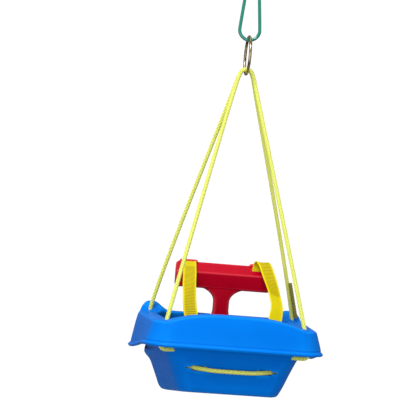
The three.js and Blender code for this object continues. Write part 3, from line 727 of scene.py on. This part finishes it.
# ---- T-bar -------------------------------------------------------------------------------------------
BAR_LENGTH = 0.220
BAR_BOTTOM = 0.0605
BAR_TOP = 0.119
BAR_RIDGE = 0.098
BAR_MIDDLE = (BAR_BOTTOM + BAR_TOP) / 2
END_ROUND = 0.009
END_SHRINK = 0.24
BAR_STEPS = 8                        # steps in each rounding of the crossbar
STEM_WIDTH = 0.036
STEM_THICKNESS = 0.025
FOOT_WIDTH = 0.041
FOOT_RADIUS = 0.0135
FOOT_BEVEL = 0.001
SLOT_IN_BAR_Y = HINGE_Y - 0.004
SLOT_IN_BAR = (STRAP_WIDTH + 0.004, 0.008)
SLOT_DEPTH = 0.050                   # down from the top of the bar
STOP = (STRAP_WIDTH + 0.012, 0.008, 0.007)
STOP_Z = BAR_BOTTOM + 0.006
POCKET_TOP = STOP_Z + STOP[2] / 2 + 0.002
BOSS = (0.041, 0.012, 0.010)         # behind the slot, on top of the bar
# Height as a share of the boss, and how far its outline grows there.
BOSS_PROFILE = [(-0.5, 0.0), (0.3, 0.0), (0.42, -0.0010), (0.48, -0.0026), (0.5, -0.0050)]
# Corners of the crossbar's section: distance forward of the hinge axis, height, corner radius.
BAR_SECTION = [
    (0.014, BAR_BOTTOM, 0.005),
    (0.014, BAR_TOP, 0.008),
    (0.004, BAR_TOP, 0.005),
    (-0.0190, BAR_RIDGE - 0.001, 0.0025),
    (-0.013, BAR_BOTTOM, 0.005),
]


# Corners of (x, y, radius) joined by straight lines and rounded by curves.
def rounded_polygon(corners, steps):
    outline = []
    count = len(corners)
    for i, (x, y, radius) in enumerate(corners):
        here = np.array([x, y])
        before = np.array(corners[i - 1][:2])
        after = np.array(corners[(i + 1) % count][:2])
        start = here + unit(before - here) * radius
        end = here + unit(after - here) * radius
        for k in range(steps + 1):
            t = k / steps
            outline.append((1 - t) ** 2 * start + 2 * t * (1 - t) * here + t ** 2 * end)
    return np.array(outline)


def crossbar_skin():
    outline = rounded_polygon(BAR_SECTION, BAR_STEPS)
    rings = []
    for end in (-1, 1):
        angles = np.linspace(0, math.pi / 2, BAR_STEPS)
        for angle in angles if end < 0 else angles[::-1]:
            x = end * (BAR_LENGTH / 2 - END_ROUND * (1 - math.cos(angle)))
            scale = 1 - END_SHRINK * (1 - math.sin(angle))
            y = HINGE_Y + outline[:, 0] * scale
            z = BAR_MIDDLE + (outline[:, 1] - BAR_MIDDLE) * scale
            rings.append(np.column_stack([np.full(len(y), x), y, z]))
    return grid_skin(np.array(rings) + SEAT_ORIGIN)


FILLET_WIDE = 0.038
FILLET_TALL = 0.030
FILLET_POWER = 0.6
FOOT_RAMP = (-0.002, 0.014)          # the foot narrows to the stem between these heights
STEM_INTO_BAR = 0.016
STEM_POWER = 0.35
STEM_RINGS = 96
STEM_SIDES = 96
FOOT_SIDES = 48
BOSS_POWER = 0.3
BOSS_SIDES = 48


# A rounded rectangle. The smaller the power, the squarer it is.
def squircle(half_x, half_y, power, count):
    angle = np.linspace(0, 2 * math.pi, count, endpoint=False)
    x = np.sign(np.cos(angle)) * np.abs(np.cos(angle)) ** power * half_x
    y = np.sign(np.sin(angle)) * np.abs(np.sin(angle)) ** power * half_y
    return x, y


# The stem widens into the crossbar and into the foot.
def stem_skin():
    rings = []
    top = BAR_BOTTOM + 0.002
    for z in np.linspace(HINGE_Z, top + STEM_INTO_BAR, STEM_RINGS):
        into_bar = min(1.0, max(0.0, (z - top + FILLET_TALL) / FILLET_TALL))
        fillet = FILLET_WIDE * (1 - (1 - into_bar ** 2) ** FILLET_POWER)
        foot = (FOOT_WIDTH - STEM_WIDTH) / 2 * (1 - float(ramp(z, *FOOT_RAMP)))
        x, y = squircle(STEM_WIDTH / 2 + foot + fillet, STEM_THICKNESS / 2, STEM_POWER, STEM_SIDES)
        rings.append(np.column_stack([x, HINGE_Y + y, np.full(STEM_SIDES, z)]))
    return grid_skin(np.array(rings) + SEAT_ORIGIN)


def foot_skin():
    end = FOOT_WIDTH / 2
    route = np.array([[x, HINGE_Y, HINGE_Z] for x in (-end, FOOT_BEVEL - end, end - FOOT_BEVEL, end)])
    narrow = FOOT_RADIUS - FOOT_BEVEL
    rings = tube_rings(route + SEAT_ORIGIN, [narrow, FOOT_RADIUS, FOOT_RADIUS, narrow], FOOT_SIDES, False)
    return grid_skin(rings)


def boss_skin(side):
    rings = []
    middle_y = SLOT_IN_BAR_Y + SLOT_IN_BAR[1] / 2 + BOSS[1] / 2
    for share, grow in BOSS_PROFILE:
        x, y = squircle(BOSS[0] / 2 + grow, BOSS[1] / 2 + grow, BOSS_POWER, BOSS_SIDES)
        z = np.full(BOSS_SIDES, BAR_TOP + share * BOSS[2])
        rings.append(np.column_stack([side * STRAP_X + x, middle_y + y, z]))
    return grid_skin(np.array(rings) + SEAT_ORIGIN)


# The overlapping skins are melted into one, which also rounds the corners between them.
def add_t_bar(material):
    skins = [crossbar_skin(), stem_skin(), foot_skin(), boss_skin(-1), boss_skin(1)]
    bar = add_mesh("t_bar_moulding", *join_skins(skins), material)
    remesh = bar.modifiers.new("melt", "REMESH")
    remesh.mode = "VOXEL"
    remesh.voxel_size = 0.0011
    smooth = bar.modifiers.new("smooth", "SMOOTH")
    smooth.factor = 0.5
    smooth.iterations = 5
    apply_modifiers(bar)
    cutters = []
    for side in (-1, 1):
        x, y = side * STRAP_X, SLOT_IN_BAR_Y
        for half_x, half_y, bottom, top in (
            (SLOT_IN_BAR[0] / 2, SLOT_IN_BAR[1] / 2, BAR_TOP - SLOT_DEPTH, BAR_TOP + SLOT_DEPTH),
            (STOP[0] / 2 + 0.001, STOP[1] / 2 + 0.001, BAR_BOTTOM - 0.010, POCKET_TOP),
        ):
            low = (x - half_x, y - half_y, bottom)
            high = (x + half_x, y + half_y, top)
            cutters.append(box_cutter(low, high, 0.0015))
    cutters.append(hole_cutter((-0.04, HINGE_Y, HINGE_Z), (0.04, HINGE_Y, HINGE_Z), BOLT_BORE))
    cut(bar, cutters)
    bar.data.materials.clear()
    bar.data.materials.append(material)
    shade_by_angle(bar, degrees=40)
    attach(bar, "t_bar")
    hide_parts("t_bar")


# ---- straps --------------------------------------------------------------------------------------------
# Centre line of each strap: from the stop up through the slot, over the ridge, down to the backrest.
STRAP_LEFT = [
    (-STRAP_X, SLOT_IN_BAR_Y, STOP_Z - 0.002),
    (-STRAP_X, SLOT_IN_BAR_Y, 0.09),
    (-STRAP_X, SLOT_IN_BAR_Y - 0.0005, 0.11),
    (-STRAP_X, SLOT_IN_BAR_Y - 0.004, 0.1175),
    (-STRAP_X, SLOT_IN_BAR_Y - 0.011, 0.1195),
    (-STRAP_X - 0.001, 0.128, 0.115),
    (-STRAP_X - 0.002, 0.1, 0.102),
    (-STRAP_X - 0.007, 0.03, 0.065),
    (-STRAP_X - 0.008, -0.04, 0.019),
    (-TAB_X - 0.003, -0.094, -0.032),
    (-TAB_X, -0.111, -0.058),
    (-TAB_X, -0.116, -0.08),
    (-TAB_X, -0.112, -0.105),
]
STRAP_RIGHT = [
    (STRAP_X, SLOT_IN_BAR_Y, STOP_Z - 0.002),
    (STRAP_X, SLOT_IN_BAR_Y, 0.09),
    (STRAP_X, SLOT_IN_BAR_Y - 0.0005, 0.11),
    (STRAP_X + 0.001, SLOT_IN_BAR_Y - 0.0015, 0.122),
    (STRAP_X + 0.005, SLOT_IN_BAR_Y - 0.009, 0.129),
    (STRAP_X + 0.009, 0.13, 0.126),
    (STRAP_X + 0.014, 0.1, 0.107),
    (STRAP_X + 0.021, 0.03, 0.064),
    (STRAP_X + 0.022, -0.01, 0.038),
    (STRAP_X + 0.012, -0.055, 0.004),
    (TAB_X + 0.004, -0.094, -0.033),
    (TAB_X, -0.111, -0.058),
    (TAB_X, -0.116, -0.08),
    (TAB_X, -0.112, -0.105),
]
STRAP_SPACING = 0.0008
RIB_PITCH = 0.0055
RIB_HEIGHT = 0.0007
RIB_FADE = 0.02                      # share of the length over which the ribs begin and end
BORDER = 0.0032                      # the smooth raised edge on both sides of the ribs
BORDER_HEIGHT = 0.0005
BORDER_SOFT = 0.0008
PANEL_SOFT = 0.001
# Painted shade: the recessed panel between the raised borders is painted darker.
PANEL_SHADE = 0.35                   # between its borders the strap is a little darker
EDGE_ROUND = 0.0012
EDGE_SHARE = 0.35                    # thickness at the very edge, as a share of the full one
TAB_FLARE = 0.012
TAB_Y = (-0.130, -0.100)             # the cutter of the tab's hole spans this
# Shares of the length where the strap turns on its own axis, and where it turns back.
TWIST_OUT = (0.26, 0.50)
TWIST_BACK = (0.58, 0.80)
# Places over the half width, closer together near the edges.
ACROSS = np.concatenate([[-1, -0.985, -0.95], np.linspace(-0.9, 0.9, 17), [0.95, 0.985, 1]])


# Half of the section's thickness over the strap's width, at one place along it.
def strap_face(across, width, along, ribbed):
    edge = width / 2 - np.abs(across)
    border = 1 - ramp(edge, BORDER - BORDER_SOFT, BORDER + BORDER_SOFT)
    rounded = np.sqrt(np.clip(1 - (1 - np.minimum(edge / EDGE_ROUND, 1)) ** 2, 0, 1))
    rib = RIB_HEIGHT * ribbed * (0.5 + 0.5 * np.cos(2 * math.pi * along / RIB_PITCH))
    raised = BORDER_HEIGHT * border + rib * (1 - border)
    return (STRAP_THICKNESS / 2 - BORDER_HEIGHT + raised) * (EDGE_SHARE + (1 - EDGE_SHARE) * rounded)


# The band, and the painted shade of each of its points: dark in the grooves between ribs, and a little dark
# on the panel between the borders.
def strap_skin(points, ribs, twist):
    route, marks, total = smooth_route(np.array(points) + SEAT_ORIGIN, False, STRAP_SPACING)
    along = unit(np.gradient(route, axis=0))
    across = unit(np.array([1.0, 0.0, 0.0]) - along * along[:, :1])
    normal = np.cross(across, along)
    rings = []
    groove_shades = []
    for i in range(len(route)):
        left = total - marks[i]
        narrowed = float(ramp(left, TAB_LENGTH, TAB_LENGTH + TAB_FLARE))
        width = TAB_WIDTH + (STRAP_WIDTH - TAB_WIDTH) * narrowed
        offset = ACROSS * width / 2
        share = marks[i] / total
        turn = twist * float(ramp(share, *TWIST_OUT) * (1 - ramp(share, *TWIST_BACK)))
        wide = across[i] * math.cos(turn) + normal[i] * math.sin(turn)
        thick = normal[i] * math.cos(turn) - across[i] * math.sin(turn)
        begun = ramp(share, ribs[0], ribs[0] + RIB_FADE)
        ended = ramp(share, ribs[1] - RIB_FADE, ribs[1])
        ribbed = float(begun * (1 - ended))
        height = strap_face(offset, width, marks[i], ribbed)
        top = route[i] + wide * offset[:, None] + thick * height[:, None]
        base = route[i] + wide * offset[::-1, None] - thick * height[::-1, None]
        rings.append(np.concatenate([top, base]))
        # Painted shade, deepest at the bottom of each groove between ribs.
        valley = ribbed * (0.5 - 0.5 * math.cos(2 * math.pi * marks[i] / RIB_PITCH)) ** 2
        inside = ramp(width / 2 - np.abs(offset), BORDER - PANEL_SOFT, BORDER + PANEL_SOFT)
        groove_shade = valley * inside + PANEL_SHADE * inside
        groove_shades.append(np.concatenate([groove_shade, groove_shade[::-1]]))
    vertices, faces = grid_skin(np.array(rings))
    return vertices, faces, np.concatenate(groove_shades)


def add_strap(name, node, points, side, ribs, twist, material):
    vertices, faces, groove_shades = strap_skin(points, ribs, twist)
    strap = add_mesh(name, vertices, faces, material)
    strap.data.attributes.new("groove_shade", "FLOAT", "POINT").data.foreach_set("value", groove_shades)
    low = (side * TAB_X - TAB_HOLE / 2, TAB_Y[0], SLOT_Z - SLOT_HEIGHT / 2)
    high = (side * TAB_X + TAB_HOLE / 2, TAB_Y[1], SLOT_Z + SLOT_HEIGHT / 2)
    cut(strap, [box_cutter(low, high, 0.003)])
    shade_by_angle(strap, degrees=50)
    x, y, z = side * STRAP_X, SLOT_IN_BAR_Y, STOP_Z
    stop = box_cutter((x - STOP[0] / 2, y - STOP[1] / 2, z - STOP[2] / 2),
                      (x + STOP[0] / 2, y + STOP[1] / 2, z + STOP[2] / 2), 0.002)
    stop.name = name + "_stop"
    stop.data.materials.append(material)
    shade_by_angle(stop, degrees=40)
    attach(stop, "t_bar")
    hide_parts(node)
    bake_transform(strap)


# ---- ropes ---------------------------------------------------------------------------------------------
# Left half of the rear rope: through the rim, in through the corner of the tub, out of the slot.
REAR_ROPE_LEFT = [
    (-REAR_HOLE_X, -HOLE_Y, 0.004),
    (-0.1495, -0.1325, -0.018),
    (-0.1555, -0.139, -0.041),
    (-0.156, -0.14, -0.051),
    (-0.1495, -0.1365, -0.058),
    (-0.138, -0.129, -0.0595),
    (-0.121, -0.117, -0.0605),
    (-0.107, -0.107, -0.067),
    (-0.099, -0.101, -0.08),
    (-0.093, -0.1025, -0.0925),
    (-0.081, -0.1135, -0.0945),
    (-0.062, -0.127, -0.0955),
    (-0.042, -0.1295, -0.097),
    (-0.018, -0.1295, -0.0975),
]
# Left half of the front rope: through the rim and along under the front of the skirt.
FRONT_ROPE_LEFT = [
    (-FRONT_HOLE_X, HOLE_Y, 0.004),
    (-0.164, 0.129, -0.03),
    (-0.1645, 0.13, -0.054),
    (-0.1635, 0.134, -0.067),
    (-0.154, 0.145, -0.073),
    (-0.137, 0.154, -0.073),
    (-0.112, 0.16, -0.071),
    (-0.07, 0.162, -0.068),
    (-0.03, 0.162, -0.066),
]
ROPE_PITCH = ROPE / 2 + 0.0005       # the two ropes lie side by side on the ring
ROPE_REST = RING_RADIUS - RING_WIRE / 2 - ROPE / 2 - 4.5 * GAP
ROPE_TOP_Z = RING_CENTRE_Z - math.sqrt(ROPE_REST ** 2 - ROPE_PITCH ** 2)
CARRIERS = 4                         # yarns that wind each way round the rope
BRAID_PITCH = 0.033                  # length of one full turn of a yarn
YARN_HALF_WIDTH = 0.0019
YARN_HALF_THICKNESS = 0.00075
YARN_SIDES = 8
CORE_SIDES = 10
BRAID_LIFT = 0.00075                 # how far a yarn rises over the one it crosses
# Steps through the filaments' noise: around a yarn, per metre along it, from one yarn to the next.
GRAIN_AROUND = 6.0
GRAIN_ALONG = 90.0
GRAIN_NEXT = 7.0


# One rope's way over the ring, from its top down the left side. Side -1 is the rear rope, 1 the front.
def shoulder(side):
    return [
        (0.0, side * ROPE_PITCH, ROPE_TOP_Z),
        (-0.0095, side * ROPE_PITCH, ROPE_TOP_Z - 0.003),
        (-0.016, side * (ROPE_PITCH + 0.001), ROPE_TOP_Z - 0.016),
        (-0.024, side * (ROPE_PITCH + 0.005), ROPE_TOP_Z - 0.045),
    ]


def rope_points(side, seat_half):
    left = shoulder(side)[1:] + [tuple(SEAT_ORIGIN + np.array(p)) for p in seat_half]
    right = [(-x, y, z) for x, y, z in reversed(left)]
    return [shoulder(side)[0]] + left + right


# Braided yarns: half wind one way and half the other, each going over and under in turn.
def braid_skin(route, marks, total, closed, radius, pitch):
    _, side, up = carried_frame(route, closed)
    turns = max(1, round(total / pitch))
    phase = 2 * math.pi * turns * marks / total
    wave = np.cos(CARRIERS * phase)
    centre_radius = radius - YARN_HALF_THICKNESS - BRAID_LIFT
    section = np.linspace(0, 2 * math.pi, YARN_SIDES, endpoint=False)
    around = GRAIN_AROUND * np.cos(section)[None, :]
    along = GRAIN_ALONG * marks[:, None]
    skins = []
    depth = []
    across = []
    for winding in (1, -1):
        lift = winding * wave
        for k in range(CARRIERS):
            angle = winding * phase + 2 * math.pi * k / CARRIERS
            out = side * np.cos(angle)[:, None] + up * np.sin(angle)[:, None]
            spine = route + out * (centre_radius + BRAID_LIFT * lift)[:, None]
            if closed:
                heading = unit(np.roll(spine, -1, axis=0) - np.roll(spine, 1, axis=0))
            else:
                heading = unit(np.gradient(spine, axis=0))
            width = unit(np.cross(heading, out))
            outward = unit(np.cross(width, heading))
            rings = (spine[:, None, :]
                     + width[:, None, :] * (YARN_HALF_WIDTH * np.cos(section))[None, :, None]
                     + outward[:, None, :] * (YARN_HALF_THICKNESS * np.sin(section))[None, :, None])
            skins.append(grid_skin(rings, closed))
            depth.append(np.repeat(lift, YARN_SIDES))
            own = np.full((1, 1), GRAIN_NEXT * (k + CARRIERS * winding))
            grain = np.stack(np.broadcast_arrays(around, along, own), axis=-1)
            across.append(grain.reshape(-1, 3))
    vertices, faces = join_skins(skins)
    return vertices, faces, np.concatenate(depth), np.concatenate(across)


def add_rope(name, nodes, points, closed, diameter, pitch, body, yarn, core):
    spacing = 0.0011
    route, marks, total = smooth_route(points, closed, spacing)
    vertices, faces, depth, across = braid_skin(route, marks, total, closed, diameter / 2, pitch)
    rope = add_mesh(name, vertices, faces, yarn)
    rope.data.attributes.new("depth", "FLOAT", "POINT").data.foreach_set("value", depth)
    rope.data.attributes.new("across", "FLOAT_VECTOR", "POINT").data.foreach_set("vector", across.ravel())
    core_radius = diameter / 2 - 2.2 * YARN_HALF_THICKNESS
    core_rings = tube_rings(route, core_radius, CORE_SIDES, closed)
    inner = add_mesh(name + "_core", *grid_skin(core_rings, closed), core)
    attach(rope, body)
    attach(inner, body)
    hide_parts(*nodes)
    return total


TAIL_LOW = 0.006                     # up along the strand from its hole in the rim
TAIL_HIGH = 0.088
TAIL_DIRECTION = np.array([0.83, -0.55, 0.0])
TAIL_GAP = 0.0016


# The tucked end of the front rope beside its right strand.
def tail_points():
    hole = SEAT_ORIGIN + np.array([FRONT_HOLE_X, HOLE_Y, 0.004])
    x, y, z = shoulder(1)[3]
    strand = unit(np.array([-x, y, z]) - hole)
    beside = TAIL_DIRECTION * (TAIL / 2 + ROPE / 2 + TAIL_GAP)
    return [hole + strand * up + beside for up in (TAIL_LOW, (TAIL_LOW + TAIL_HIGH) / 2, TAIL_HIGH)]


# ---- link, ring and hinge hardware -------------------------------------------------------------------------
LINK_SIDES = 40
RING_STEPS = 240
RING_SIDES = 32


# A small and a large arc, joined by straight legs that lean a little.
def link_points():
    top = LINK_WIRE / 2 - LINK_TOP_RADIUS
    base = LINK_BOTTOM_Z + LINK_BOTTOM_RADIUS
    lean = math.asin((LINK_BOTTOM_RADIUS - LINK_TOP_RADIUS) / (top - base))
    points = []
    for angle in np.linspace(-lean, math.pi + lean, 25):
        points.append((LINK_TOP_RADIUS * math.cos(angle), 0.0, top + LINK_TOP_RADIUS * math.sin(angle)))
    for angle in np.linspace(math.pi + lean, 2 * math.pi - lean, 33):
        x = LINK_BOTTOM_RADIUS * math.cos(angle)
        points.append((x, 0.0, base + LINK_BOTTOM_RADIUS * math.sin(angle)))
    return points


def add_link(material):
    route, _, _ = smooth_route(link_points(), True, 0.0015)
    rings = tube_rings(route, LINK_WIRE / 2, LINK_SIDES, True)
    link = add_mesh("link_wire", *grid_skin(rings, True), material)
    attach(link, "hanger")
    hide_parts("hanger_link")


WELD_ANGLE = 2.6
WELD_WIDTH = 0.0022
WELD_HEIGHT = 0.00022
SEAM_WIDTH = 0.0005
SEAM_DEPTH = 0.00025


# The ring is closed by a weld that stands a little proud of the wire, with a fine seam in its middle.
def add_ring(material):
    angle = np.linspace(0, 2 * math.pi, RING_STEPS, endpoint=False)
    route = np.column_stack([
        np.zeros(len(angle)),
        RING_RADIUS * np.cos(angle),
        RING_CENTRE_Z + RING_RADIUS * np.sin(angle),
    ])
    from_weld = (angle - WELD_ANGLE) * RING_RADIUS
    weld = np.exp(-(from_weld / WELD_WIDTH) ** 2)
    seam = np.exp(-(from_weld / SEAM_WIDTH) ** 2)
    radius = RING_WIRE / 2 + WELD_HEIGHT * weld - SEAM_DEPTH * seam
    rings = tube_rings(route, radius, RING_SIDES, True)
    ring = add_mesh("ring_wire", *grid_skin(rings, True), material)
    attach(ring, "ring")
    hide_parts("suspension_ring")


# The hinge hardware keeps its CAD meshes and gets a steel material.
def finish_hardware():
    steel = zinc_steel()
    for node in ("hinge_bolt", "head_washer", "nut_washer", "lock_nut", "spacer_left", "spacer_right"):
        piece = bpy.data.objects[node]
        for slot in piece.material_slots:
            slot.material = steel


# ---- assembly ------------------------------------------------------------------------------------------
add_camera()
add_studio()
# The last colour is the painted shade where a yarn dips under another.
yarn = rope_yarn("rope_yarn", (0.95, 0.98, 0.22), (0.85, 0.90, 0.15), (0.30, 0.30, 0.035))
# The tucked tail is the same rope: its yarn is a darker copy, painted shade.
shaded_tail_yarn = rope_yarn("shaded_tail_rope_yarn", (0.34, 0.31, 0.05), (0.24, 0.21, 0.035), (0.07, 0.06, 0.01))
core = shaded_rope_core()
rear_length = add_rope("rear_rope_braid", ["rear_rope"], rope_points(-1, REAR_ROPE_LEFT), True, ROPE,
                       BRAID_PITCH, "seat", yarn, core)
front_length = add_rope("front_rope_braid", ["front_rope"], rope_points(1, FRONT_ROPE_LEFT), True, ROPE,
                        BRAID_PITCH, "seat", yarn, core)
add_rope("front_tail_braid", ["front_rope_tail"], tail_points(), False, TAIL, BRAID_PITCH * 0.8,
         "seat", shaded_tail_yarn, core)
add_seat(moulded_plastic(
    "seat_blue",
    base=(0.0, 0.205, 0.87),
    shade=(0.0, 0.180, 0.80),
    # deep: painted shade inside the tub, where its walls close it in
    deep=(0.0, 0.055, 0.19),
    # painted highlight along sharp edges
    wear_and_painted_highlight=(0.002, 0.26, 0.98),
    sheen=(0.25, 0.6, 1.0),
    roughness=0.42,
    gloss=0.10,
))
add_t_bar(moulded_plastic(
    "bar_red",
    base=(0.58, 0.0006, 0.018),
    shade=(0.50, 0.0005, 0.015),
    # deep: painted shade where the bar's walls close it in
    deep=(0.13, 0.001, 0.009),
    # painted highlight along sharp edges and the ridge
    wear_and_painted_highlight=(0.95, 0.07, 0.10),
    sheen=(1.0, 0.55, 0.6),
    roughness=0.34,
    gloss=0.07,
))
golden = strap_plastic()
add_strap("strap_left_band", "strap_left", STRAP_LEFT, -1, (0.20, 0.72), 0.0, golden)
add_strap("strap_right_band", "strap_right", STRAP_RIGHT, 1, (0.16, 0.48), 0.35, golden)
add_link(coated_wire())
add_ring(old_brass())
finish_hardware()
